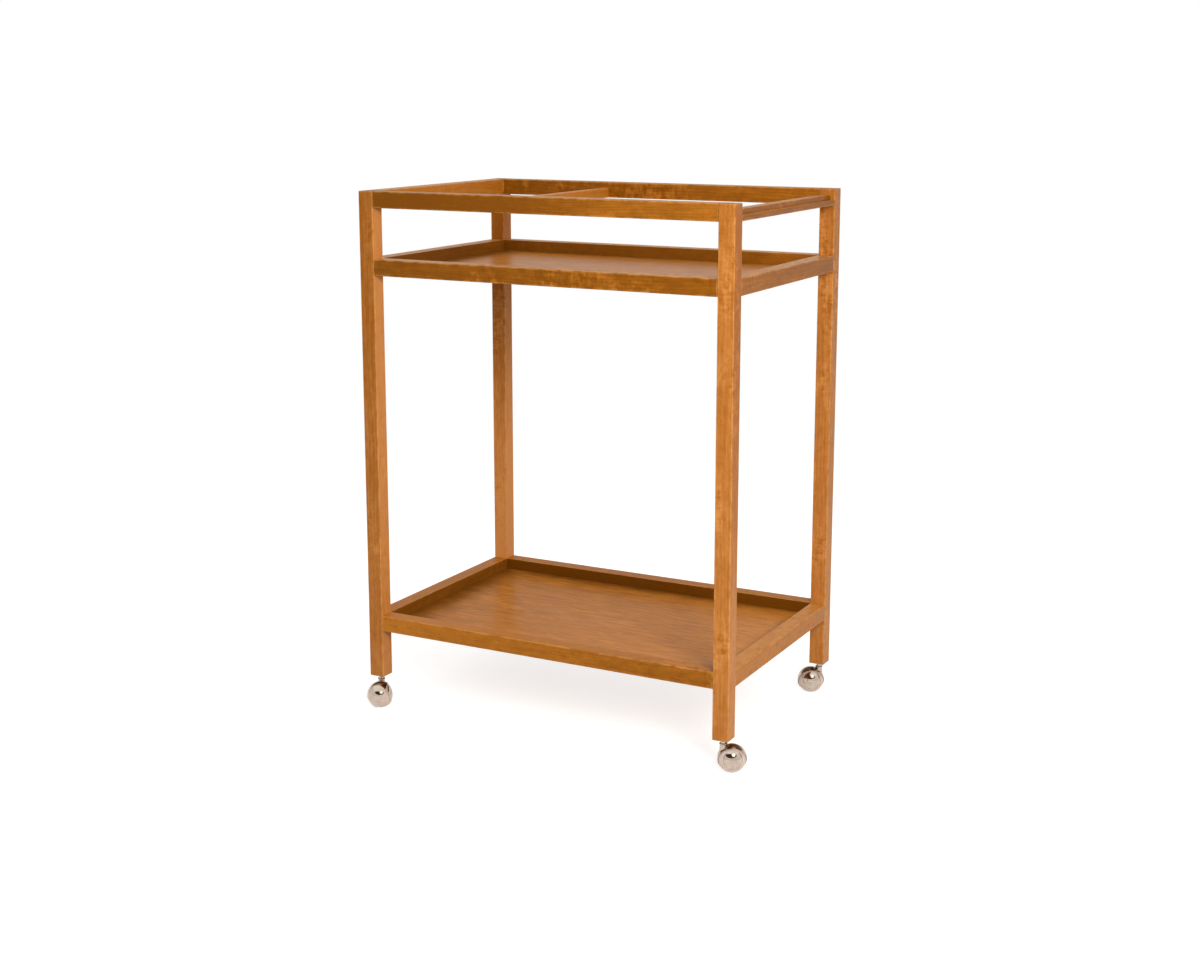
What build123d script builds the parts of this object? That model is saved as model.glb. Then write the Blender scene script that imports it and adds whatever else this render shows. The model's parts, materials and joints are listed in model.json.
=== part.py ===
from build123d import *
import math
import os

# Serving trolley: square wooden posts carry an open top frame and two tray shelves,
# and stand on hooded ball casters.
# Millimetres, +Z up. The origin is on the floor under the middle of the wooden frame.
# X runs from left to right, Y from front to rear.

# Wooden frame
FRAME_LENGTH = 628.65  # over the posts, left to right
FRAME_DEPTH = 412.75  # over the posts, front to rear
STICK_SIDE = 25.4  # square posts, and the width of every rail
RAIL_HEIGHT = 25.4
EDGE_ROUND = 1.2  # eased long edges of posts and rails
END_CHAMFER = 0.8  # eased ends of the posts
UPPER_SHELF_DROP = 104.0  # from the posts' tops to the tops of the upper shelf's rails
LOWER_SHELF_DROP = 673.7
LEG_LENGTH = 77.2  # the posts below the lower shelf's rails

# Top frame: the divider and the right rail's inner tier share one lower level
SEAT_DROP = 9.4  # from the posts' tops to that level
LEDGE_DROP = 17.3  # from the posts' tops to the right rail's outer ledge
LEDGE_WIDTH = 7.9
DIVIDER_THICKNESS = 12.7
DIVIDER_FROM_LEFT = 217.0  # from the frame's left face to the divider's left face

# Shelf panels, let into rebates from below
PANEL_THICKNESS = 6.35
PANEL_DROP = 18.0  # from the rails' tops to the panel's top
REBATE_WIDTH = 8.0  # how far a panel reaches under each rail
PANEL_CLEARANCE = 0.25  # round the panel's edge
SCREW_RADIUS = 1.6
SCREW_HEAD_RADIUS = 3.2
SCREW_HEAD_HEIGHT = 1.8
SCREW_LENGTH = 16.0
SCREW_SLOT_LENGTH = 4.4
SCREW_SLOT_WIDTH = 0.8
SCREW_SLOT_DEPTH = 1.0
SCREW_END_MARGIN = 70.0  # from a rail's end to its first screw
SCREWS_PER_LONG_RAIL = 4
SCREWS_PER_SHORT_RAIL = 3

# Glued dowels
DOWEL_RADIUS = 3.0
DOWEL_SPACING = 14.0  # between the two dowels at a rail's end, one above the other
DOWEL_IN_RAIL = 18.0
LONG_DOWEL_IN_POST = 16.0
SHORT_DOWEL_IN_POST = 8.0  # stops short of the long rails' dowels
GLUE_LINE = 0.05

# Hooded ball casters
WHEEL_RADIUS = 20.6
RIM_THICKNESS = 2.5
RIM_FRONT_ANGLE = 46.0  # from the axle's outer end to the rim's front edge
RIM_BACK_ANGLE = 104.0
CAP_DOME_RADIUS = 25.0  # flatter than the rim's ball
CAP_STEP = 0.4  # from the rim's front edge in to the cap's edge
CAP_WALL = 1.5
WEB_THICKNESS = 3.0
HUB_RADIUS = 6.0
HUB_LENGTH = 11.0
AXLE_RADIUS = 2.5
AXLE_TILT = 10.0  # the wheel faces up by this angle
AXLE_SEAT = 10.0  # the axle's length inside the hood's boss
AXLE_HEAD_RADIUS = 4.0
AXLE_HEAD_HEIGHT = 1.2
AXLE_BOSS_RADIUS = 5.5
END_PLAY = 0.3
HOOD_CLEARANCE = 0.4
HOOD_WALL = 1.0
HOOD_BRIM_ANGLE = 50.0  # from the axle to the hood's edge above the wheel
HOOD_SKIRT_ANGLE = 115.0  # from the axle to the hood's edge below the wheel
HOOD_FLOOR_GAP = 3.0
HOOD_TO_FOOT = 8.0  # from the hood's crown up to the post's foot
CASTER_TRAIL = 13.0  # from the swivel axis to the ball's centre
STEM_RADIUS = 4.0
STEM_SEAT_WALL = 1.0  # left between the stem's seat and the hood's inside
NECK_WALL = 1.0
NECK_FLARE = 2.0  # how much wider the neck is where it meets the hood
NECK_GAP = 4.5  # bare stem between the neck and the socket
COLLAR_RADIUS = 1.1  # of the round bead at the neck's top
COLLAR_DROP = 0.3  # from the neck's top to the bead
SOCKET_RADIUS = 5.5
SOCKET_DEPTH = 38.0
SOCKET_FLANGE_RADIUS = 7.0
SOCKET_FLANGE_HEIGHT = 1.5
SOCKET_END_WALL = 1.2
GRIP_RING_HEIGHT = 3.8
GRIP_RING_WALL = 0.7
GRIP_RING_SLIT = 1.5
GRIP_RING_FROM_TOP = 5.0
GRIP_RING_CLEARANCE = 0.1
RUNNING_CLEARANCE = 0.05
PRESS_LINE = 0.02  # between pressed metal pieces

# Corner: side signs in X and Y, swivel angle in plan, side that the wheel faces
CORNERS = {
    "front_left": (-1, -1, -61.6, 1),
    "front_right": (1, -1, 28.4, -1),
    "rear_left": (-1, 1, 135.0, -1),
    "rear_right": (1, 1, 208.4, 1),
}

# Levels and spans worked out from the sizes above
HOOD_INNER = WHEEL_RADIUS + HOOD_CLEARANCE
HOOD_OUTER = HOOD_INNER + HOOD_WALL
FOOT_Z = WHEEL_RADIUS + HOOD_OUTER + HOOD_TO_FOOT
POST_LENGTH = LOWER_SHELF_DROP + RAIL_HEIGHT + LEG_LENGTH
TOP_Z = FOOT_Z + POST_LENGTH
UPPER_Z = TOP_Z - UPPER_SHELF_DROP
LOWER_Z = TOP_Z - LOWER_SHELF_DROP
POST_X = (FRAME_LENGTH - STICK_SIDE) / 2
POST_Y = (FRAME_DEPTH - STICK_SIDE) / 2
LONG_SPAN = FRAME_LENGTH - 2 * STICK_SIDE
SHORT_SPAN = FRAME_DEPTH - 2 * STICK_SIDE
SEAT_HEIGHT = RAIL_HEIGHT - SEAT_DROP
TIER_WIDTH = STICK_SIDE - LEDGE_WIDTH
DIVIDER_X = DIVIDER_FROM_LEFT + DIVIDER_THICKNESS / 2 - FRAME_LENGTH / 2
FAR_CUT = 6 * HOOD_OUTER


def save(node, shape):
    shape.label = node
    export_step(shape, f"parts/{node}.step")


def eased_face(points, eased):
    """A closed outline whose listed corners are rounded."""
    face = make_face(Polyline(*points, close=True))
    corners = [v for v in face.vertices() if (round(v.X, 6), round(v.Y, 6)) in eased]
    return fillet(corners, EDGE_ROUND)


def rounded_points(points):
    return {(round(x, 6), round(y, 6)) for x, y in points}


def plain_section(width, height):
    """A rail's section: outer face on the left, at zero, top at zero, all corners eased."""
    points = [(0, 0), (width, 0), (width, -height), (0, -height)]
    return eased_face(points, rounded_points(points))


def shelf_section():
    """A square section with a rebate cut from the inner side below."""
    inner = STICK_SIDE - REBATE_WIDTH
    points = [
        (0, 0),
        (STICK_SIDE, 0),
        (STICK_SIDE, -PANEL_DROP),
        (inner, -PANEL_DROP),
        (inner, -RAIL_HEIGHT),
        (0, -RAIL_HEIGHT),
    ]
    return eased_face(points, rounded_points([points[0], points[1], points[5]]))


def stepped_section():
    """The top frame's right rail: a ledge outside and a higher tier inside."""
    points = [
        (0, -LEDGE_DROP),
        (LEDGE_WIDTH, -LEDGE_DROP),
        (LEDGE_WIDTH, -SEAT_DROP),
        (STICK_SIDE, -SEAT_DROP),
        (STICK_SIDE, -RAIL_HEIGHT),
        (0, -RAIL_HEIGHT),
    ]
    eased = [points[0], points[2], points[3], points[4], points[5]]
    return eased_face(points, rounded_points(eased))


# The plane of each rail's section: its X points inwards, its Y up, its Z along the rail
RAIL_SIDES = {
    "front": (Vector(0, -FRAME_DEPTH / 2, 0), Vector(0, 1, 0), LONG_SPAN),
    "rear": (Vector(0, FRAME_DEPTH / 2, 0), Vector(0, -1, 0), LONG_SPAN),
    "left": (Vector(-FRAME_LENGTH / 2, 0, 0), Vector(1, 0, 0), SHORT_SPAN),
    "right": (Vector(FRAME_LENGTH / 2, 0, 0), Vector(-1, 0, 0), SHORT_SPAN),
}


def rail(side, section, top_z):
    """A rail along one side of the frame, between two posts, with its top at a level."""
    origin, inward, span = RAIL_SIDES[side]
    along = inward.cross(Vector(0, 0, 1))
    plane = Plane(origin=origin + Vector(0, 0, top_z) - along * (span / 2), x_dir=inward, z_dir=along)
    return extrude(plane * section, amount=span, dir=along)


def rod(start, direction, radius, length):
    """A round rod from a point, along a direction."""
    plane = Plane(origin=start, z_dir=direction)
    return plane * Cylinder(radius, length, align=(Align.CENTER, Align.CENTER, Align.MIN))


def dowel_run(side, across, height, in_post):
    """Start point, direction and length of the dowel at each end of a rail."""
    origin, inward, span = RAIL_SIDES[side]
    along = inward.cross(Vector(0, 0, 1))
    middle = origin + inward * across + Vector(0, 0, height)
    runs = []
    for end in (-1, 1):
        inside = middle + along * (end * (span / 2 - DOWEL_IN_RAIL))
        runs.append((inside, along * end, DOWEL_IN_RAIL + in_post))
    return runs


def pair_runs(side, top_z, in_post):
    """Two dowels, one above the other, at each end of a rail."""
    middle_z = top_z - RAIL_HEIGHT / 2
    runs = []
    for offset in (-DOWEL_SPACING / 2, DOWEL_SPACING / 2):
        runs += dowel_run(side, STICK_SIDE / 2, middle_z + offset, in_post)
    return runs


def dowels(runs):
    return Compound(children=[rod(*run[:2], DOWEL_RADIUS, run[2]) for run in runs])


def drill(shape, runs):
    """Cuts the holes of a set of dowels, with room for glue."""
    for start, direction, length in runs:
        hole = rod(start - direction * GLUE_LINE, direction, DOWEL_RADIUS + GLUE_LINE, length + 2 * GLUE_LINE)
        shape = shape - hole
    return shape


def divider_runs():
    """One dowel at each end of the divider, into the front and rear rails."""
    height = TOP_Z - SEAT_DROP - SEAT_HEIGHT / 2
    runs = []
    for end in (-1, 1):
        inside = Vector(DIVIDER_X, end * (SHORT_SPAN / 2 - DOWEL_IN_RAIL), height)
        runs.append((inside, Vector(0, end, 0), DOWEL_IN_RAIL + SHORT_DOWEL_IN_POST))
    return runs


def frame_runs(top_z, sides):
    """All the dowels of one frame of rails, for the sides named."""
    in_post = {"front": LONG_DOWEL_IN_POST, "rear": LONG_DOWEL_IN_POST}
    runs = []
    for side in sides:
        runs += pair_runs(side, top_z, in_post.get(side, SHORT_DOWEL_IN_POST))
    return runs


TOP_RUNS = frame_runs(TOP_Z, ["front", "rear", "left"])
STEP_RUNS = dowel_run(
    "right", STICK_SIDE - TIER_WIDTH / 2, TOP_Z - SEAT_DROP - SEAT_HEIGHT / 2, SHORT_DOWEL_IN_POST
)
SEAT_RUNS = STEP_RUNS + divider_runs()
UPPER_RUNS = frame_runs(UPPER_Z, RAIL_SIDES)
LOWER_RUNS = frame_runs(LOWER_Z, RAIL_SIDES)


def post(x_side, y_side):
    """A post with eased edges, drilled for dowels, with a bore for the caster's socket."""
    outline = RectangleRounded(STICK_SIDE, STICK_SIDE, EDGE_ROUND)
    stick = extrude(outline, POST_LENGTH)
    stick = chamfer(stick.edges().group_by(Axis.Z)[0] + stick.edges().group_by(Axis.Z)[-1], END_CHAMFER)
    foot = Vector(x_side * POST_X, y_side * POST_Y, FOOT_Z)
    stick = Pos(*foot) * stick
    stick = stick - rod(foot, Vector(0, 0, 1), SOCKET_RADIUS + PRESS_LINE, SOCKET_DEPTH + PRESS_LINE)
    near = [
        run
        for run in TOP_RUNS + STEP_RUNS + UPPER_RUNS + LOWER_RUNS
        if run[0].X * x_side > 0 and run[0].Y * y_side > 0 and reaches_post(run)
    ]
    return drill(stick, near)


def reaches_post(run):
    """True for a dowel that runs into a post, in either direction."""
    end = run[0] + run[1] * run[2]
    return abs(end.X) > POST_X - STICK_SIDE / 2 and abs(end.Y) > POST_Y - STICK_SIDE / 2


def screw_points(top_z):
    """Where the panel's screws start, on the panel's underside, under the middle of each rebate."""
    underside = top_z - PANEL_DROP - PANEL_THICKNESS
    counts = {"front": SCREWS_PER_LONG_RAIL, "rear": SCREWS_PER_LONG_RAIL}
    points = []
    for side, (origin, inward, span) in RAIL_SIDES.items():
        along = inward.cross(Vector(0, 0, 1))
        row = origin + inward * (STICK_SIDE - REBATE_WIDTH / 2) + Vector(0, 0, underside)
        count = counts.get(side, SCREWS_PER_SHORT_RAIL)
        reach = span / 2 - SCREW_END_MARGIN
        for index in range(count):
            points.append(row + along * (reach * (2 * index / (count - 1) - 1)))
    return points


def screw_body(grow):
    """A countersunk screw, point up, larger all round by a given amount."""
    head = Cone(
        SCREW_HEAD_RADIUS + grow,
        SCREW_RADIUS + grow,
        SCREW_HEAD_HEIGHT,
        align=(Align.CENTER, Align.CENTER, Align.MIN),
    )
    return head + rod(Vector(0, 0, 0), Vector(0, 0, 1), SCREW_RADIUS + grow, SCREW_LENGTH + grow)


def screw():
    slot = Box(SCREW_SLOT_LENGTH, SCREW_SLOT_WIDTH, 2 * SCREW_SLOT_DEPTH)
    cross = Box(SCREW_SLOT_WIDTH, SCREW_SLOT_LENGTH, 2 * SCREW_SLOT_DEPTH)
    return screw_body(0) - slot - cross


def cut_screws(shape, top_z):
    hole = screw_body(GLUE_LINE)
    for point in screw_points(top_z):
        shape = shape - Pos(*point) * hole
    return shape


def panel(top_z):
    """A shelf panel: it reaches into the rebates, and its corners are cut round the posts."""
    length = FRAME_LENGTH - 2 * (STICK_SIDE - REBATE_WIDTH + PANEL_CLEARANCE)
    depth = FRAME_DEPTH - 2 * (STICK_SIDE - REBATE_WIDTH + PANEL_CLEARANCE)
    top = Pos(0, 0, top_z - PANEL_DROP)
    board = top * Box(length, depth, PANEL_THICKNESS, align=(Align.CENTER, Align.CENTER, Align.MAX))
    corner = STICK_SIDE + 2 * PANEL_CLEARANCE
    for x_side, y_side, _, _ in CORNERS.values():
        middle = Pos(x_side * POST_X, y_side * POST_Y, top_z - PANEL_DROP)
        board = board - middle * Box(corner, corner, 3 * PANEL_THICKNESS)
    return cut_screws(board, top_z)


def shelf(name, top_z, runs):
    """A tray: four rebated rails, a panel from below, dowels and screws."""
    for side in RAIL_SIDES:
        stick = drill(rail(side, shelf_section(), top_z), runs)
        save(f"{name}_{side}_rail", cut_screws(stick, top_z))
    save(f"{name}_panel", panel(top_z))
    save(f"{name}_rail_dowels", dowels(runs))
    save(f"{name}_panel_screws", Compound(children=[Pos(*p) * screw() for p in screw_points(top_z)]))


def top_frame():
    """Three rails flush with the posts, the stepped right rail, and the divider."""
    square = plain_section(STICK_SIDE, RAIL_HEIGHT)
    for side in ("front", "rear", "left"):
        save(f"top_{side}_rail", drill(rail(side, square, TOP_Z), TOP_RUNS + divider_runs()))
    save("top_right_rail", drill(rail("right", stepped_section(), TOP_Z), STEP_RUNS))
    start = Vector(DIVIDER_X - DIVIDER_THICKNESS / 2, -SHORT_SPAN / 2, TOP_Z - SEAT_DROP)
    plane = Plane(origin=start, x_dir=(1, 0, 0), z_dir=(0, -1, 0))
    bar = extrude(plane * plain_section(DIVIDER_THICKNESS, SEAT_HEIGHT), amount=SHORT_SPAN, dir=(0, 1, 0))
    save("top_divider", drill(bar, divider_runs()))
    save("top_rail_dowels", dowels(TOP_RUNS))
    save("top_seat_dowels", dowels(SEAT_RUNS))


def in_front_of(plane):
    """A block that fills all the space in front of a plane."""
    return plane * Box(FAR_CUT, FAR_CUT, FAR_CUT, align=(Align.CENTER, Align.CENTER, Align.MIN))


# Casters are drawn with the swivel axis on Z and the ball's centre out along X.
BALL = Vector(CASTER_TRAIL, 0, WHEEL_RADIUS)
NECK_TOP = FOOT_Z - SOCKET_FLANGE_HEIGHT - NECK_GAP
NECK_LEAN = math.degrees(math.asin(CASTER_TRAIL / HOOD_OUTER))  # of the ball's radius that meets the neck
STEM_SEAT_Z = (
    WHEEL_RADIUS + math.sqrt(HOOD_INNER**2 - (CASTER_TRAIL - STEM_RADIUS) ** 2) + STEM_SEAT_WALL
)
SOCKET_TOP = FOOT_Z + SOCKET_DEPTH
STEM_TOP = SOCKET_TOP - SOCKET_END_WALL - END_PLAY
GRIP_RING_Z = STEM_TOP - GRIP_RING_FROM_TOP - GRIP_RING_HEIGHT
GRIP_RING_OUTER = STEM_RADIUS - GRIP_RING_CLEARANCE


def tilted(hand, angle):
    """A direction across the caster, towards its wheel, raised by an angle."""
    return Vector(0, hand * math.cos(math.radians(angle)), math.sin(math.radians(angle)))


def axle_plane(hand):
    """The plane through the ball's centre, square to the axle, facing the wheel's cap."""
    return Plane(origin=BALL, x_dir=(1, 0, 0), z_dir=tilted(hand, AXLE_TILT))


def along_axle(radius, low, high):
    """A round piece on the axle's line, in the axle's own frame."""
    return Pos(0, 0, low) * Cylinder(radius, high - low, align=(Align.CENTER, Align.CENTER, Align.MIN))


def rim_level(angle):
    return WHEEL_RADIUS * math.cos(math.radians(angle))


def tread():
    """The wheel's rolling rim: a zone of a hollow sphere."""
    zone = along_axle(FAR_CUT, rim_level(RIM_BACK_ANGLE), rim_level(RIM_FRONT_ANGLE))
    return (Sphere(WHEEL_RADIUS) - Sphere(WHEEL_RADIUS - RIM_THICKNESS)) & zone


def cap():
    """The domed cap on the rim's front edge."""
    base = rim_level(RIM_FRONT_ANGLE)
    edge = WHEEL_RADIUS * math.sin(math.radians(RIM_FRONT_ANGLE)) - CAP_STEP
    centre = base - math.sqrt(CAP_DOME_RADIUS**2 - edge**2)
    poles_aside = (90, 0, 0)  # keeps the dome's middle smooth
    dome = Sphere(CAP_DOME_RADIUS, rotation=poles_aside)
    dome = dome - Sphere(CAP_DOME_RADIUS - CAP_WALL, rotation=poles_aside)
    return Pos(0, 0, centre) * dome & in_front_of(Plane.XY.offset(base))


def wheel():
    """The wheel's web, inside the rim, with its hub."""
    web = along_axle(FAR_CUT, -WEB_THICKNESS / 2, WEB_THICKNESS / 2)
    web = web & Sphere(WHEEL_RADIUS - RIM_THICKNESS - PRESS_LINE)
    hub = along_axle(HUB_RADIUS, -HUB_LENGTH / 2, HUB_LENGTH / 2)
    return web + hub - along_axle(AXLE_RADIUS + RUNNING_CLEARANCE, -HUB_LENGTH, HUB_LENGTH)


def axle():
    """The axle, fixed in the hood's boss, with a head in front of the hub."""
    head_low = HUB_LENGTH / 2 + END_PLAY
    pin = along_axle(AXLE_RADIUS, -HUB_LENGTH / 2 - END_PLAY - AXLE_SEAT, head_low)
    return pin + along_axle(AXLE_HEAD_RADIUS, head_low, head_low + AXLE_HEAD_HEIGHT)


def neck():
    """A flared neck up from the ball, with a round bead at its top."""
    throat = STEM_RADIUS + NECK_WALL
    flare = Pos(0, 0, WHEEL_RADIUS) * Cone(
        throat + NECK_FLARE,
        throat,
        NECK_TOP - WHEEL_RADIUS,
        align=(Align.CENTER, Align.CENTER, Align.MIN),
    )
    return flare + Pos(0, 0, NECK_TOP - COLLAR_DROP - COLLAR_RADIUS) * Torus(throat, COLLAR_RADIUS)


def hood(hand):
    """A hollow ball, open towards the wheel, with a neck for the stem and a boss for the axle."""
    pole_in_neck = (0, -NECK_LEAN, 0)  # keeps the crown smooth
    shell = Pos(*BALL) * Sphere(HOOD_OUTER, rotation=pole_in_neck) + neck()
    shell = shell - Pos(*BALL) * Sphere(HOOD_INNER, rotation=pole_in_neck)
    opening_tilt = AXLE_TILT + (HOOD_BRIM_ANGLE - HOOD_SKIRT_ANGLE) / 2
    opening_half = (HOOD_BRIM_ANGLE + HOOD_SKIRT_ANGLE) / 2
    facing = tilted(hand, opening_tilt)
    edge = BALL + facing * (HOOD_OUTER * math.cos(math.radians(opening_half)))
    shell = shell - in_front_of(Plane(origin=edge, z_dir=facing))
    shell = shell & in_front_of(Plane.XY.offset(HOOD_FLOOR_GAP))
    boss_face = -HUB_LENGTH / 2 - END_PLAY
    boss = along_axle(AXLE_BOSS_RADIUS, -HOOD_INNER - HOOD_WALL / 2, boss_face)
    seat = along_axle(AXLE_RADIUS + PRESS_LINE, boss_face - AXLE_SEAT - PRESS_LINE, 0)
    shell = shell + axle_plane(hand) * boss - axle_plane(hand) * seat
    stem_seat = rod(
        Vector(0, 0, STEM_SEAT_Z - PRESS_LINE), Vector(0, 0, 1), STEM_RADIUS + PRESS_LINE, HOOD_OUTER
    )
    return shell - stem_seat


def grip_groove():
    """The groove that holds the grip ring, near the stem's top."""
    ring = rod(Vector(0, 0, GRIP_RING_Z), Vector(0, 0, 1), 2 * STEM_RADIUS, GRIP_RING_HEIGHT)
    core = rod(
        Vector(0, 0, GRIP_RING_Z), Vector(0, 0, 1), GRIP_RING_OUTER - GRIP_RING_WALL, GRIP_RING_HEIGHT
    )
    return ring - core


def stem():
    pin = rod(Vector(0, 0, STEM_SEAT_Z), Vector(0, 0, 1), STEM_RADIUS, STEM_TOP - STEM_SEAT_Z)
    return pin - grip_groove()


def grip_ring():
    """A split ring in the stem's groove."""
    base = Vector(0, 0, GRIP_RING_Z + PRESS_LINE)
    height = GRIP_RING_HEIGHT - 2 * PRESS_LINE
    ring = rod(base, Vector(0, 0, 1), GRIP_RING_OUTER, height)
    ring = ring - rod(base, Vector(0, 0, 1), GRIP_RING_OUTER - GRIP_RING_WALL + PRESS_LINE, height)
    slit = Pos(STEM_RADIUS, 0, GRIP_RING_Z) * Box(2 * STEM_RADIUS, GRIP_RING_SLIT, 4 * GRIP_RING_HEIGHT)
    return ring - slit


def socket():
    """The flanged, closed sleeve in the post's foot."""
    base = Vector(0, 0, FOOT_Z)
    sleeve = rod(base, Vector(0, 0, 1), SOCKET_RADIUS, SOCKET_DEPTH)
    flange = rod(base, Vector(0, 0, -1), SOCKET_FLANGE_RADIUS, SOCKET_FLANGE_HEIGHT)
    bore = rod(
        base - Vector(0, 0, SOCKET_FLANGE_HEIGHT),
        Vector(0, 0, 1),
        STEM_RADIUS + RUNNING_CLEARANCE,
        SOCKET_FLANGE_HEIGHT + SOCKET_DEPTH - SOCKET_END_WALL,
    )
    return sleeve + flange - bore


def caster(corner, x_side, y_side, swivel, hand):
    place = Location((x_side * POST_X, y_side * POST_Y, 0), (0, 0, swivel))
    on_axle = place * axle_plane(hand).location
    save(f"{corner}_caster_socket", place * socket())
    save(f"{corner}_caster_stem", place * stem())
    save(f"{corner}_caster_grip_ring", place * grip_ring())
    save(f"{corner}_caster_hood", place * hood(hand))
    save(f"{corner}_caster_axle", on_axle * axle())
    save(f"{corner}_caster_wheel", on_axle * wheel())
    save(f"{corner}_caster_tread", on_axle * tread())
    save(f"{corner}_caster_cap", on_axle * cap())


os.makedirs("parts", exist_ok=True)
for corner, (x_side, y_side, swivel, hand) in CORNERS.items():
    save(f"{corner}_post", post(x_side, y_side))
    caster(corner, x_side, y_side, swivel, hand)
top_frame()
shelf("upper", UPPER_Z, UPPER_RUNS)
shelf("lower", LOWER_Z, LOWER_RUNS)
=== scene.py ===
import json
import math
import random

import bpy
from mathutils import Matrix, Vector


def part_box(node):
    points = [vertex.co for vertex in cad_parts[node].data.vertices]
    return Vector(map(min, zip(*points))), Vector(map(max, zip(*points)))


# Serving trolley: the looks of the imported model, in metres, +Z up.
# Every stick's grain runs along it, and each wooden node has a material of its own seed.

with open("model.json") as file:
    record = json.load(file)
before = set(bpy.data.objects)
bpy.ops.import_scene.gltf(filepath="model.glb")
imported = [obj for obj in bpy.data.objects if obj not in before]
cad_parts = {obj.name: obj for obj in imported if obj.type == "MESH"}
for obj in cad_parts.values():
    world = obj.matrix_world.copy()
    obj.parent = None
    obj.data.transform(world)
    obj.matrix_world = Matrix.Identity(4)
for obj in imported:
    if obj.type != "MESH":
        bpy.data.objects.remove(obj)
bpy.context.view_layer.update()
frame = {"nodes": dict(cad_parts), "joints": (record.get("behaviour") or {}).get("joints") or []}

# Camera, fitted to the photograph's edges
CAMERA_PLACE = (1.2681, -2.3978, 0.9892)
CAMERA_TURN = 27.959  # degrees, from looking along +Y towards the left
CAMERA_DIP = 10.590  # degrees below level
LENS = 52.15
SENSOR = 36.0
SHIFT_Y = -0.06

# Lamp, floor and background
AIM = (0.0, 0.0, 0.42)
KEY_PLACE = (1.38, -1.52, 1.27)
KEY_SIZE = 0.90
KEY_POWER = 40.0
KEY_COLOUR = (1.0, 0.96, 0.91)
FILL_COLOUR = (1.0, 0.98, 0.96, 1.0)
FILL_STRENGTH = (0.29, 0.76)  # from the horizon and from overhead
FLOOR_SIZE = 14.0
FLOOR_COLOUR = (0.54, 0.53, 0.52, 1.0)
FLOOR_WHITE = 0.76  # what the floor adds in the picture and in reflections, to come out white
SHADOW_REACH = (1.0, 2.2)  # from the middle: where the floor starts to fade to white, and where it ends
WHITE = (1.0, 1.0, 1.0, 1.0)

# The studio that metal and lacquer mirror: pale all round and overhead, with a dark room behind the camera,
# a brown wall on the right and dimness high up at the rear. Ranges are of a direction's X, Y or Z.
PALE_FRONT = (1.10, 1.38)  # low down and overhead
PALE_REAR = 1.15
REAR_FROM = (-0.1, 0.3)
OVERHEAD_FROM = (0.45, 0.70)
DIM = (0.19, 0.125, 0.075, 1.0)
DIM_FROM = (0.12, 0.50)
DIM_TO = (0.86, 0.96)
WALL_COLOUR = (0.34, 0.21, 0.13, 1.0)
WALL_SIDE = (0.40, 0.70)
WALL_FROM = (0.06, 0.20)
ROOM_COLOUR = (0.075, 0.055, 0.030, 1.0)
ROOM_MIDDLE = (0.31, -0.95)  # in plan
ROOM_HEIGHT = 0.46
ROOM_HALF_WIDTH = 0.66
ROOM_HALF_HEIGHT = 0.24
ROOM_EDGE = (0.82, 1.02)  # as a share of the half width and the half height
ROOM_AHEAD = (0.0, 0.2)  # shares of a direction towards the room's middle, to keep it off the rear
MIRRORED_LAMP = (0.51, -0.63, 0.587)  # its direction from the casters, which mirror it clearest
MIRRORED_LAMP_EDGE = (0.972, 0.984)  # cosines of the angle from its middle
MIRRORED_LAMP_COLOUR = (2.5, 2.5, 2.5, 1.0)

# Stain colours, linear: the darkest and the lightest
POST_STAIN = ((0.32, 0.095, 0.003, 1.0), (0.63, 0.262, 0.070, 1.0))
RAIL_STAIN = ((0.21, 0.064, 0.0005, 1.0), (0.50, 0.178, 0.018, 1.0))
PANEL_STAIN = ((0.38, 0.132, 0.012, 1.0), (0.66, 0.256, 0.046, 1.0))
BEECH = ((0.42, 0.26, 0.12, 1.0), (0.68, 0.48, 0.27, 1.0))
# Pale colour of rubbed edges and worn rail tops: partly real wear, partly painted highlight and painted
# light
WORN_AND_LIT = (0.68, 0.33, 0.095, 1.0)
TRAY_SHADE_COLOUR = (0.13, 0.040, 0.001, 1.0)  # painted shade in the trays' corners and along their walls

# The wood's figure: length along the grain, width across it, and weight in the tone
STICK_FIGURE = {
    "cloud": (0.180, 0.060, 0.60),
    "mottle": (0.016, 0.009, 1.00),
    "streak": (0.110, 0.0030, 0.34),
    "fibre": (0.050, 0.0009, 0.46),
    "curl": (0.005, 0.014, 1.00),
    "fleck": (0.004, 0.0018, -0.30),
}
VENEER_FIGURE = {
    "cloud": (0.320, 0.110, 0.50),
    "mottle": (0.050, 0.016, 0.60),
    "streak": (0.045, 0.0045, 1.10),
    "fibre": (0.024, 0.0016, 1.20),
    "curl": (0.010, 0.030, 0.20),
    "fleck": (0.014, 0.0011, -0.60),
}
FIGURE_NOISE = (3.0, 0.58)  # detail and roughness of the noise
NOISE_MIDDLE = 0.5
PATCH = (0.50, 0.62)  # where in the cloud's range the lively patches begin and are full
MOTTLE_SHARE = (0.50, 1.40)  # how much of the mottle shows between the patches and in them
FLECK_EDGE = (0.58, 0.72)  # where in the noise's range a fleck begins and is full
RING_WIDTH = 0.0042
RING_WEIGHT = 0.04
RING_SWAY = (0.30, 0.05, 1.0)  # length, width and detail of the noise that bends the rings
SWAY_REACH = 0.022
END_WEIGHT = -0.25
TONE_RANGE = (-0.5, 0.5)  # tones of the darkest and of the lightest stain
RUBBED_AND_LIT_EDGE = (0.0006, 0.0026)  # distances from an edge: made pale, and no longer pale; partly rubbed wear, partly a painted highlight on the eased edge
RUBBED_AND_LIT_MOTTLE = (0.36, 0.62)
RUBBED_AND_LIT_SHARE = (0.08, 0.46)  # over that range of the mottle
WORN_AND_LIT_MOTTLE = (0.30, 0.70)
WORN_AND_LIT_SHARE = (0.50, 1.50)  # over that range of the mottle
STICK_ROUGHNESS = 0.29
VENEER_ROUGHNESS = 0.22
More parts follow.
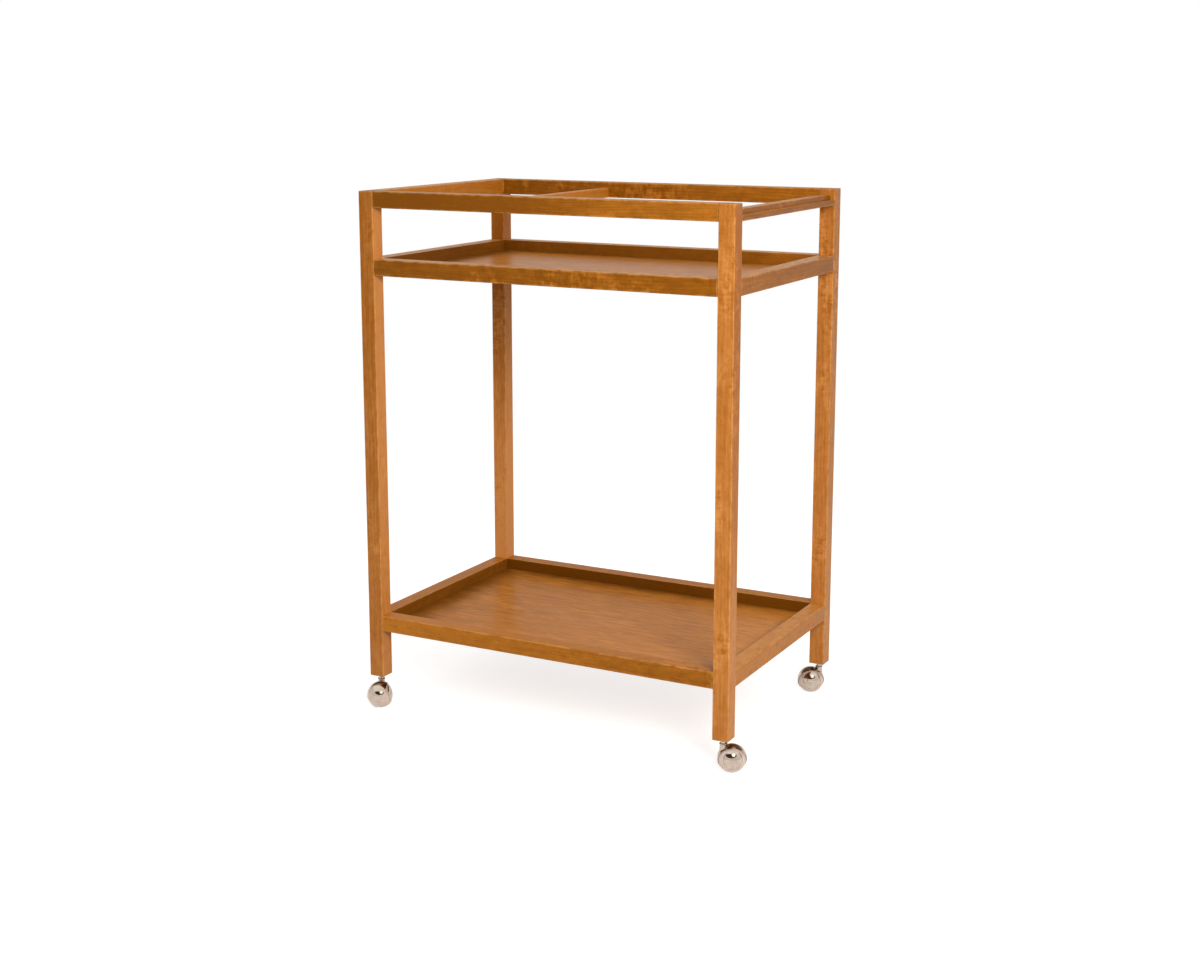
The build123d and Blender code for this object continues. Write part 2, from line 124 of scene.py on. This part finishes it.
ROUGHENING = {"fibre": 0.10, "mottle": 0.14, "fleck": 0.12, "rubbed_and_lit": -0.06}
RELIEF = {"fibre": 0.5, "streak": 0.6, "fleck": -0.8}
WOOD_BUMP = (0.25, 0.00025)  # strength and distance
LACQUER = 0.12  # specular level
SEED = 11
GRAIN_START = ((-9.0, 9.0), (0.03, 0.06), (0.05, 0.10))  # along the grain, and from the pith each way
FACING = (0.60, 0.90)  # cosines from which a face starts to count as turned to one side, and does fully
END_FACING = (0.75, 0.95)

# Metals: colour, colour where dull, roughness where smooth and where smudged,
# and how metallic the surface is
POLISHED = ((0.53, 0.445, 0.37, 1.0), (0.42, 0.345, 0.285, 1.0), 0.05, 0.14, 1.0)
SATIN = ((0.68, 0.535, 0.465, 1.0), (0.59, 0.465, 0.40, 1.0), 0.40, 0.50, 0.45)
STEEL = ((0.58, 0.58, 0.60, 1.0), (0.44, 0.44, 0.46, 1.0), 0.25, 0.40, 1.0)
GRIME = (0.10, 0.075, 0.055, 1.0)
SEAM_WIDTH = 0.0010  # grime in the joint round a wheel's cap
SEAM_SHARE = 0.70
METAL_CLOUD = (0.009, 0.009, 3.0, 0.6)  # length, width, detail and roughness of the noise
METAL_MARKS = (0.006, 0.0005, 2.0, 0.6)
DULL_FROM = (0.30, 0.72)  # ranges of the cloud
SMUDGE_FROM = (0.50, 0.72)
MARK_ROUGHNESS = 0.04
METAL_BUMP = (0.04, 0.0001)  # strength and distance

CORNERS = ("front_left", "front_right", "rear_left", "rear_right")
SIDES = ("front", "rear", "left", "right")
INWARD = {"front": (0, 1, 0), "rear": (0, -1, 0), "left": (1, 0, 0), "right": (-1, 0, 0)}

# How light a piece comes out, from its low end to its high end along the grain: partly the stain's own
# unevenness, partly painted light and shade, such as the rear left post's top darkened as if in the shelf's
# shadow and the front and rear top rails darker at the left
TONES_AND_LIGHT = {
    "front_left_post": (0.0, -0.20),
    "front_right_post": (0.02, -0.10),
    "rear_left_post": (0.46, -0.40),
    "rear_right_post": (0.06, -0.10),
    "top_front_rail": (-0.42, 0.0),
    "top_rear_rail": (-0.32, -0.05),
    "top_left_rail": (0.25, 0.25),
    "top_right_rail": (-0.25, -0.20),
    "top_divider": (0.38, 0.38),
    "upper_front_rail": (-0.28, -0.28),
    "lower_front_rail": (0.32, -0.12),
    "lower_right_rail": (0.15, 0.15),
    "upper_panel": (0.15, 0.05),
    "lower_panel": (-0.10, 0.12),
}
# Painted light and shade added on a stick's right face, for how the lamp at the right lights it
RIGHT_FACE_LIGHT = {
    "front_left_post": (0.24, 0.50),
    "front_right_post": (0.12, -0.30),
    "rear_left_post": (0.32, 0.30),
    "rear_right_post": (0.10, 0.0),
    "upper_right_rail": (-0.12, -0.12),
    "lower_right_rail": (0.10, 0.10),
}
TOP_LIGHT = 0.20  # painted light added on a rail's top
# How much of a rail's top is made pale, by level or for one rail: partly rubbed wear, partly painted light
TOP_WEAR_AND_LIGHT = {"top": 0.40, "upper": 0.50, "lower": 0.06, "upper_front_rail": 0.66, "lower_right_rail": 0.34}
TRAY_SHADE = {"upper": (0.80, 0.42), "lower": (0.82, 0.75)}  # painted shade in a tray, along its rails
# The same painted shade for one rail
RAIL_SHADE = {
    "upper_rear_rail": (0.74, 0.24),
    "lower_rear_rail": (0.92, 0.88),
    "lower_left_rail": (0.62, 0.58),
}
CORNER_SHADE = (0.006, 0.003)  # from a post's inner faces: where the painted shade begins and where it is full
BESIDE_RAIL = 0.002  # how far the painted shade on a post fades out at a rail's top and bottom
PANEL_SHADE = (0.020, 0.064)  # from the rails: where the painted shade on a panel starts to fade, and where it ends
PANEL_SHADE_SHARE = 0.80
LEFT_SHADE = 1.8  # how much wider the painted shade on a panel is on the left
RAGGED = (0.05, 0.03, 4.0, 0.65)  # length, width, detail and roughness of the noise along the painted shade's edge
RAGGED_REACH = 0.040
SHADE_COVER = 0.01  # how much further from an edge painted shade counts as lying, so that it isn't made pale
EVEN = (0.0, 0.0)
COLOUR_INPUTS = (6, 7)  # a mix node's sockets for colours come after those for numbers and vectors
COLOUR_OUTPUT = 2


class Graph:
    """Short ways to add nodes to one shader tree."""

    def __init__(self, tree):
        self.tree = tree

    def put(self, socket, value):
        """Links another node's output to a socket, or sets the socket to a constant."""
        if isinstance(value, bpy.types.NodeSocket):
            self.tree.links.new(value, socket)
        else:
            socket.default_value = value

    def node(self, kind, settings=None, inputs=None):
        made = self.tree.nodes.new(kind)
        for name, value in (settings or {}).items():
            setattr(made, name, value)
        for name, value in (inputs or {}).items():
            self.put(made.inputs[name], value)
        return made

    def math(self, operation, first, second=0.0, third=0.0):
        made = self.node("ShaderNodeMath", {"operation": operation})
        for socket, value in zip(made.inputs, (first, second, third)):
            self.put(socket, value)
        return made.outputs[0]

    def vector(self, operation, first, second=(0.0, 0.0, 0.0)):
        made = self.node("ShaderNodeVectorMath", {"operation": operation})
        self.put(made.inputs[0], first)
        self.put(made.inputs[1], second)
        return made.outputs["Value" if operation in ("LENGTH", "DOT_PRODUCT") else "Vector"]

    def parts(self, vector):
        """The X, Y and Z of a vector."""
        return self.node("ShaderNodeSeparateXYZ", None, {"Vector": vector}).outputs

    def streaks(self, place, along, across, detail=2.0, roughness=0.5):
        """Noise whose features have a length along the grain and a width across it."""
        scaled = self.vector("MULTIPLY", place, (1 / along, 1 / across, 1 / across))
        inputs = {"Vector": scaled, "Scale": 1.0, "Detail": detail, "Roughness": roughness}
        return self.node("ShaderNodeTexNoise", None, inputs).outputs["Fac"]

    def spread(self, value, low, high, to_low=0.0, to_high=1.0):
        """Maps a range of values to another, smoothly, and holds it at its ends."""
        inputs = {"Value": value, "From Min": low, "From Max": high, "To Min": to_low, "To Max": to_high}
        settings = {"interpolation_type": "SMOOTHSTEP"}
        return self.node("ShaderNodeMapRange", settings, inputs).outputs["Result"]

    def total(self, start, *terms):
        """A starting value and the sum of (value, weight) pairs."""
        result = start
        for value, weight in terms:
            result = self.math("MULTIPLY_ADD", value, weight, result)
        return result

    def mix(self, share, first, second):
        """The first colour where the share is 0, and the second where it is 1."""
        made = self.node("ShaderNodeMix", {"data_type": "RGBA"})
        self.put(made.inputs["Factor"], share)
        for number, colour in zip(COLOUR_INPUTS, (first, second)):
            self.put(made.inputs[number], colour)
        return made.outputs[COLOUR_OUTPUT]

    def bump(self, height, strength, distance):
        inputs = {"Height": height, "Strength": strength, "Distance": distance}
        return self.node("ShaderNodeBump", None, inputs).outputs["Normal"]


def new_group(name, inputs, outputs):
    """An empty node group: its graph, its input sockets and its output sockets."""
    tree = bpy.data.node_groups.new(name, "ShaderNodeTree")
    for socket, kind in inputs:
        tree.interface.new_socket(socket, in_out="INPUT", socket_type=kind)
    for socket, kind in outputs:
        tree.interface.new_socket(socket, in_out="OUTPUT", socket_type=kind)
    graph = Graph(tree)
    given = graph.node("NodeGroupInput").outputs
    result = graph.node("NodeGroupOutput").inputs
    return graph, given, result


def wood_group(name, figure, roughness):
    """Stained wood: clouds, mottle, streaks, fibres, curl, flecks, rings, end grain, rubbed edges that also
    carry a painted highlight, and painted shade.
    """
    inputs = [
        ("Grain", "NodeSocketVector"),
        ("End", "NodeSocketFloat"),
        ("Edge", "NodeSocketFloat"),
        ("Tone", "NodeSocketFloat"),
        ("Shade", "NodeSocketFloat"),
        ("WearAndLight", "NodeSocketFloat"),
        ("Dark", "NodeSocketColor"),
        ("Light", "NodeSocketColor"),
    ]
    outputs = [
        ("Color", "NodeSocketColor"),
        ("Roughness", "NodeSocketFloat"),
        ("Height", "NodeSocketFloat"),
    ]
    graph, given, result = new_group(name, inputs, outputs)
    grain = given["Grain"]

    noise = {}
    weight = {}
    for part, (along, across, share) in figure.items():
        noise[part] = graph.streaks(grain, along, across, *FIGURE_NOISE)
        weight[part] = share
    patches = graph.spread(noise["cloud"], *PATCH)
    curl = graph.math("MULTIPLY", graph.math("SUBTRACT", noise["curl"], NOISE_MIDDLE), patches)
    mottle = graph.math("SUBTRACT", noise["mottle"], NOISE_MIDDLE)
    mottle = graph.math("MULTIPLY", mottle, graph.spread(noise["cloud"], *PATCH, *MOTTLE_SHARE))
    fleck = graph.spread(noise["fleck"], *FLECK_EDGE)
    sway = graph.streaks(grain, *RING_SWAY)
    from_pith = graph.vector("LENGTH", graph.vector("MULTIPLY", grain, (0.0, 1.0, 1.0)))
    ring = graph.math("MULTIPLY", graph.total(from_pith, (sway, SWAY_REACH)), 2 * math.pi / RING_WIDTH)
    ring = graph.math("SINE", ring)

    even = ("cloud", "streak", "fibre")
    tone = graph.total(
        graph.math("SUBTRACT", given["Tone"], NOISE_MIDDLE * sum(weight[part] for part in even)),
        *((noise[part], weight[part]) for part in even),
        (mottle, weight["mottle"]),
        (curl, weight["curl"]),
        (fleck, weight["fleck"]),
        (ring, RING_WEIGHT),
        (given["End"], END_WEIGHT),
    )
    stain = graph.mix(graph.spread(tone, *TONE_RANGE), given["Dark"], given["Light"])
    # Painted shade darkens the stain in the trays' corners and along their walls
    stain = graph.mix(given["Shade"], stain, TRAY_SHADE_COLOUR)
    # Edges and tops made pale: partly rubbed wear, partly painted highlight and painted light
    rubbed_and_lit = graph.spread(given["Edge"], *RUBBED_AND_LIT_EDGE, 1.0, 0.0)
    rubbed_and_lit = graph.math("MULTIPLY", rubbed_and_lit, graph.spread(noise["mottle"], *RUBBED_AND_LIT_MOTTLE, *RUBBED_AND_LIT_SHARE))
    worn_and_lit = graph.math("MULTIPLY", given["WearAndLight"], graph.spread(noise["mottle"], *WORN_AND_LIT_MOTTLE, *WORN_AND_LIT_SHARE))
    rubbed_and_lit = graph.math("MAXIMUM", rubbed_and_lit, worn_and_lit)
    graph.put(result["Color"], graph.mix(rubbed_and_lit, stain, WORN_AND_LIT))

    layers = {**noise, "fleck": fleck, "rubbed_and_lit": rubbed_and_lit}
    uneven = graph.total(roughness, *((layers[part], share) for part, share in ROUGHENING.items()))
    graph.put(result["Roughness"], uneven)
    height = graph.total(0.0, *((layers[part], share) for part, share in RELIEF.items()))
    graph.put(result["Height"], height)
    return graph.tree


STICK_WOOD = wood_group("stick_wood", STICK_FIGURE, STICK_ROUGHNESS)
VENEER_WOOD = wood_group("veneer_wood", VENEER_FIGURE, VENEER_ROUGHNESS)
draw = random.Random(SEED)


def new_material(name):
    """A material with only a Principled shader, and its graph."""
    material = bpy.data.materials.new(name)
    material.use_nodes = True
    graph = Graph(material.node_tree)
    shader = material.node_tree.nodes["Principled BSDF"]
    return material, graph, shader


def edge_distance(graph, place, half):
    """How far a point of a box's surface lies from the nearest edge."""
    apart = graph.parts(graph.vector("SUBTRACT", half, graph.vector("ABSOLUTE", place)))
    low = graph.math("MINIMUM", apart["X"], apart["Y"])
    high = graph.math("MAXIMUM", apart["X"], apart["Y"])
    return graph.math("MAXIMUM", low, graph.math("MINIMUM", high, apart["Z"]))


def rail_axis(side):
    """The axis that a rail on one side runs along."""
    return "X" if side in ("front", "rear") else "Y"


def along_axis(graph, parts, half, axis, ends):
    """A value that goes from one end to the other of a box, along an axis."""
    reach = half["XYZ".index(axis)]
    return graph.spread(parts[axis], -reach, reach, *ends)


def no_shade(graph, place, half, normal):
    """For wood with no painted shade."""
    return 0.0


def tray_face_shade(level, side):
    """Painted shade on a rail's face that looks into the tray."""
    ends = RAIL_SHADE.get(f"{level}_{side}_rail", TRAY_SHADE[level])

    def painted_shade(graph, place, half, normal):
        share = along_axis(graph, graph.parts(place), half, rail_axis(side), ends)
        inward = graph.vector("DOT_PRODUCT", normal, INWARD[side])
        return graph.math("MULTIPLY", share, graph.spread(inward, *FACING))

    return painted_shade


def tray_corner_shade(corner):
    """Painted shade where a post's inner edge shows in the corners of the trays."""
    rear_or_front, left_or_right = corner.split("_")
    inward = Vector(INWARD[rear_or_front]) + Vector(INWARD[left_or_right])

    def painted_shade(graph, place, half, normal):
        low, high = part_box(f"{corner}_post")
        parts = graph.parts(graph.vector("MULTIPLY", place, inward))
        begin, full = (half.x - distance for distance in CORNER_SHADE)
        inner = graph.spread(graph.math("MINIMUM", parts["X"], parts["Y"]), begin, full)
        height = graph.math("ADD", graph.parts(place)["Z"], (low.z + high.z) / 2)
        corner_shade = 0.0
        for level, (share, _) in TRAY_SHADE.items():
            bottom, top = (end.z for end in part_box(f"{level}_{left_or_right}_rail"))
            reach = (top - bottom) / 2
            away = graph.math("ABSOLUTE", graph.math("SUBTRACT", height, (bottom + top) / 2))
            beside = graph.spread(away, reach - BESIDE_RAIL, reach, share, 0.0)
            corner_shade = graph.total(corner_shade, (beside, inner))
        return corner_shade

    return painted_shade


def tray_floor_shade(graph, place, half, normal):
    """Painted shade on a panel along the rails round it, widest on the left."""
    apart = graph.parts(graph.vector("SUBTRACT", half, graph.vector("ABSOLUTE", place)))
    from_left = graph.math("ADD", graph.parts(place)["X"], half.x)
    away = graph.math("MINIMUM", apart["X"], apart["Y"])
    away = graph.math("MINIMUM", away, graph.math("DIVIDE", from_left, LEFT_SHADE))
    away = graph.total(away, (graph.streaks(place, *RAGGED), RAGGED_REACH))
    return graph.spread(away, *PANEL_SHADE, PANEL_SHADE_SHARE, 0.0)


def wood_material(node, axis, wood, stain, painted_shade=no_shade, top_light=0.0, top_wear_and_light=0.0):
    """Stained wood with its grain along an axis, and painted light and shade on its faces."""
    low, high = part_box(node)
    middle, half = (low + high) / 2, (high - low) / 2
    material, graph, shader = new_material(node + "_finish")
    texture = graph.node("ShaderNodeTexCoord").outputs
    place = graph.vector("SUBTRACT", texture["Object"], middle)
    parts = graph.parts(place)
    order = ("XYZ", "YZX", "ZXY")["XYZ".index(axis)]
    turned = {name: parts[source] for name, source in zip("XYZ", order)}
    grain = graph.node("ShaderNodeCombineXYZ", None, turned).outputs[0]
    start = tuple(draw.uniform(*ends) for ends in GRAIN_START)
    facing = graph.parts(texture["Normal"])
    # Painted light and shade: a drift along the piece, more on its right face and on its top
    tone_and_light = along_axis(graph, parts, half, axis, TONES_AND_LIGHT.get(node, EVEN))
    right_face_light = along_axis(graph, parts, half, axis, RIGHT_FACE_LIGHT.get(node, EVEN))
    right = graph.spread(facing["X"], *FACING)
    top = graph.spread(facing["Z"], *FACING)
    # Painted shade, as each piece's own function gives it
    shaded = painted_shade(graph, place, half, texture["Normal"])
    inputs = {
        "Grain": graph.vector("ADD", grain, start),
        "End": graph.spread(graph.math("ABSOLUTE", facing[axis]), *END_FACING),
        "Edge": graph.total(edge_distance(graph, place, half), (shaded, SHADE_COVER)),
        "Tone": graph.total(tone_and_light, (right, right_face_light), (top, top_light)),
        "Shade": shaded,
        "WearAndLight": graph.math("MULTIPLY", top, top_wear_and_light),
        "Dark": stain[0],
        "Light": stain[1],
    }
    grown = graph.node("ShaderNodeGroup", {"node_tree": wood}, inputs).outputs
    graph.put(shader.inputs["Base Color"], grown["Color"])
    graph.put(shader.inputs["Roughness"], grown["Roughness"])
    graph.put(shader.inputs["Normal"], graph.bump(grown["Height"], *WOOD_BUMP))
    shader.inputs["Specular IOR Level"].default_value = LACQUER
    return material


def no_seam(graph, place):
    """For metal without a grimy joint."""
    return 0.0


def cap_seam(corner):
    """Grime in the joint round a wheel's cap, by the distance from its axle."""
    axle = next(joint for joint in frame["joints"] if joint["name"] == f"{corner}_wheel_roll")
    centre, axis = Vector(axle["pos_m"]), Vector(axle["axis"])
    cap = frame["nodes"][f"{corner}_caster_cap"].data
    edge = max((vertex.co - centre).cross(axis).length for vertex in cap.vertices)

    def seam(graph, place):
        arm = graph.vector("CROSS_PRODUCT", graph.vector("SUBTRACT", place, centre), axis)
        return graph.spread(graph.vector("LENGTH", arm), edge - SEAM_WIDTH, edge, 0.0, SEAM_SHARE)

    return seam


def metal_material(name, colour, dull, smooth, rough, metallic, seam=no_seam):
    """Plated metal: slow cloudiness, fine polishing marks and a few smudges."""
    material, graph, shader = new_material(name)
    place = graph.node("ShaderNodeTexCoord").outputs["Object"]
    cloud = graph.streaks(place, *METAL_CLOUD)
    marks = graph.streaks(place, *METAL_MARKS)
    smudge = graph.spread(cloud, *SMUDGE_FROM)
    plating = graph.mix(graph.spread(cloud, *DULL_FROM), colour, dull)
    graph.put(shader.inputs["Base Color"], graph.mix(seam(graph, place), plating, GRIME))
    marked = (marks, MARK_ROUGHNESS)
    uneven = graph.total(smooth - NOISE_MIDDLE * MARK_ROUGHNESS, (smudge, rough - smooth), marked)
    graph.put(shader.inputs["Roughness"], uneven)
    graph.put(shader.inputs["Normal"], graph.bump(marks, *METAL_BUMP))
    shader.inputs["Metallic"].default_value = metallic
    return material


def finish(node, material):
    """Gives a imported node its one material."""
    data = frame["nodes"][node].data
    data.materials.clear()
    data.materials.append(material)


def finish_wood():
    """Posts, rails, divider, panels and dowels."""
    for corner in CORNERS:
        node = f"{corner}_post"
        # Each post gets painted shade in the trays' corners
        finish(node, wood_material(node, "Z", STICK_WOOD, POST_STAIN, tray_corner_shade(corner)))
    for level in ("top", "upper", "lower"):
        for side in SIDES:
            node = f"{level}_{side}_rail"
            # Rails round the trays get painted shade on their inner faces
            painted_shade = tray_face_shade(level, side) if level in TRAY_SHADE else no_shade
            # Rails' tops get painted light and a pale mix of rubbed wear and painted light
            wear_and_light = TOP_WEAR_AND_LIGHT.get(node, TOP_WEAR_AND_LIGHT[level])
            rail = wood_material(node, rail_axis(side), STICK_WOOD, RAIL_STAIN, painted_shade, TOP_LIGHT, wear_and_light)
            finish(node, rail)
    # The divider's top gets painted light and the same pale mix of wear and painted light
    divider = wood_material("top_divider", "Y", STICK_WOOD, RAIL_STAIN, no_shade, TOP_LIGHT, TOP_WEAR_AND_LIGHT["top"])
    finish("top_divider", divider)
    for node in ("upper_panel", "lower_panel"):
        # Panels get painted shade along their rails
        finish(node, wood_material(node, "X", VENEER_WOOD, PANEL_STAIN, tray_floor_shade))
    for node in ("top_rail_dowels", "top_seat_dowels", "upper_rail_dowels", "lower_rail_dowels"):
        finish(node, wood_material(node, "X", STICK_WOOD, BEECH))


def finish_metal():
    """Casters and screws."""
    polished = metal_material("polished_nickel", *POLISHED)
    satin = metal_material("satin_nickel", *SATIN)
    steel = metal_material("plated_steel", *STEEL)
    metals = {
        "socket": polished,
        "stem": polished,
        "hood": polished,
        "tread": satin,
        "axle": steel,
        "wheel": steel,
        "grip_ring": steel,
    }
    for corner in CORNERS:
        for piece, metal in metals.items():
            finish(f"{corner}_caster_{piece}", metal)
        cap = metal_material(f"{corner}_cap_nickel", *POLISHED, cap_seam(corner))
        finish(f"{corner}_caster_cap", cap)
    for shelf in ("upper", "lower"):
        finish(f"{shelf}_panel_screws", steel)


def seen_directly(graph):
    """1 for rays that show a surface or the sky to the eye: from the camera, a mirror or glass."""
    path = graph.node("ShaderNodeLightPath").outputs
    shown = graph.math("MAXIMUM", path["Is Camera Ray"], path["Is Glossy Ray"])
    return graph.math("MAXIMUM", shown, path["Is Transmission Ray"])


def make_floor():
    """A wide pale floor that keeps the shadow and comes out white elsewhere."""
    reach = FLOOR_SIZE / 2
    mesh = bpy.data.meshes.new("floor")
    corners = [(-reach, -reach, 0), (reach, -reach, 0), (reach, reach, 0), (-reach, reach, 0)]
    mesh.from_pydata(corners, [], [(0, 1, 2, 3)])
    floor = bpy.data.objects.new("floor", mesh)
    bpy.context.scene.collection.objects.link(floor)
    material, graph, shader = new_material("floor_paint")
    shown = seen_directly(graph)
    shader.inputs["Base Color"].default_value = FLOOR_COLOUR
    shader.inputs["Roughness"].default_value = 1.0
    shader.inputs["Specular IOR Level"].default_value = 0.0
    shader.inputs["Emission Color"].default_value = WHITE
    graph.put(shader.inputs["Emission Strength"], graph.math("MULTIPLY", shown, FLOOR_WHITE))
    away = graph.vector("LENGTH", graph.node("ShaderNodeTexCoord").outputs["Object"])
    far = graph.math("MULTIPLY", shown, graph.spread(away, *SHADOW_REACH))
    white = graph.node("ShaderNodeEmission", None, {"Color": WHITE, "Strength": 1.0})
    both = graph.node("ShaderNodeMixShader")
    graph.put(both.inputs[0], far)
    graph.put(both.inputs[1], shader.outputs[0])
    graph.put(both.inputs[2], white.outputs[0])
    graph.put(material.node_tree.nodes["Material Output"].inputs["Surface"], both.outputs[0])
    mesh.materials.append(material)


def mirrored_studio(graph):
    """The colours of the studio round the trolley, by direction, as metal and lacquer mirror them."""
    direction = graph.node("ShaderNodeTexCoord").outputs["Generated"]
    parts = graph.parts(direction)
    at_rear = graph.spread(parts["Y"], *REAR_FROM)
    in_front = graph.spread(parts["Z"], *OVERHEAD_FROM, *PALE_FRONT)
    pale = graph.total(in_front, (at_rear, graph.math("SUBTRACT", PALE_REAR, in_front)))
    beneath = graph.math("MULTIPLY", at_rear, graph.spread(parts["Z"], *DIM_TO, 1.0, 0.0))
    dim = graph.math("MULTIPLY", beneath, graph.spread(parts["Z"], *DIM_FROM))
    colour = graph.mix(dim, pale, DIM)
    wall = graph.math("MULTIPLY", beneath, graph.spread(parts["X"], *WALL_SIDE))
    wall = graph.math("MULTIPLY", wall, graph.spread(parts["Z"], *WALL_FROM))
    colour = graph.mix(wall, colour, WALL_COLOUR)

    ahead = graph.vector("DOT_PRODUCT", direction, (*ROOM_MIDDLE, 0.0))
    aside = graph.vector("DOT_PRODUCT", direction, (-ROOM_MIDDLE[1], ROOM_MIDDLE[0], 0.0))
    across = graph.math("DIVIDE", aside, ROOM_HALF_WIDTH)
    up = graph.math("DIVIDE", graph.math("SUBTRACT", parts["Z"], ROOM_HEIGHT), ROOM_HALF_HEIGHT)
    offset = graph.node("ShaderNodeCombineXYZ", None, {"X": across, "Y": up}).outputs[0]
    room = graph.spread(graph.vector("LENGTH", offset), *ROOM_EDGE, 1.0, 0.0)
    room = graph.math("MULTIPLY", room, graph.spread(ahead, *ROOM_AHEAD))
    colour = graph.mix(room, colour, ROOM_COLOUR)

    lamp = graph.spread(graph.vector("DOT_PRODUCT", direction, MIRRORED_LAMP), *MIRRORED_LAMP_EDGE)
    return graph.mix(lamp, colour, MIRRORED_LAMP_COLOUR)


def make_world():
    """Soft even light, a background that shows white, and a studio that shows in mirrors."""
    world = bpy.data.worlds.new("studio")
    world.use_nodes = True
    bpy.context.scene.world = world
    graph = Graph(world.node_tree)
    world.node_tree.nodes.clear()
    height = graph.parts(graph.node("ShaderNodeTexCoord").outputs["Generated"])["Z"]
    strength = graph.spread(height, 0.0, 1.0, *FILL_STRENGTH)
    light = graph.node("ShaderNodeBackground", None, {"Color": FILL_COLOUR, "Strength": strength})
    glossy = graph.node("ShaderNodeLightPath").outputs["Is Glossy Ray"]
    shown = graph.mix(glossy, WHITE, mirrored_studio(graph))
    seen = graph.node("ShaderNodeBackground", None, {"Color": shown, "Strength": 1.0})
    both = graph.node("ShaderNodeMixShader")
    graph.put(both.inputs[0], seen_directly(graph))
    graph.put(both.inputs[1], light.outputs[0])
    graph.put(both.inputs[2], seen.outputs[0])
    output = graph.node("ShaderNodeOutputWorld")
    graph.put(output.inputs["Surface"], both.outputs[0])


def make_lamp(name, place, size, power, colour):
    """A round soft lamp that faces the trolley."""
    data = bpy.data.lights.new(name, "AREA")
    data.shape = "DISK"
    data.size = size
    data.energy = power
    data.color = colour
    lamp = bpy.data.objects.new(name, data)
    lamp.location = place
    lamp.rotation_euler = (Vector(AIM) - Vector(place)).to_track_quat("-Z", "Y").to_euler()
    lamp.visible_camera = False
    lamp.visible_glossy = False
    bpy.context.scene.collection.objects.link(lamp)


def make_camera():
    """The photograph's view."""
    data = bpy.data.cameras.new("camera")
    data.lens = LENS
    data.sensor_width = SENSOR
    data.shift_y = SHIFT_Y
    camera = bpy.data.objects.new("camera", data)
    camera.location = CAMERA_PLACE
    camera.rotation_euler = (math.radians(90 - CAMERA_DIP), 0, math.radians(CAMERA_TURN))
    bpy.context.scene.collection.objects.link(camera)
    bpy.context.scene.camera = camera


finish_wood()
finish_metal()
make_floor()
make_world()
make_lamp("key", KEY_PLACE, KEY_SIZE, KEY_POWER, KEY_COLOUR)
make_camera()
bpy.context.scene.view_settings.view_transform = "Standard"
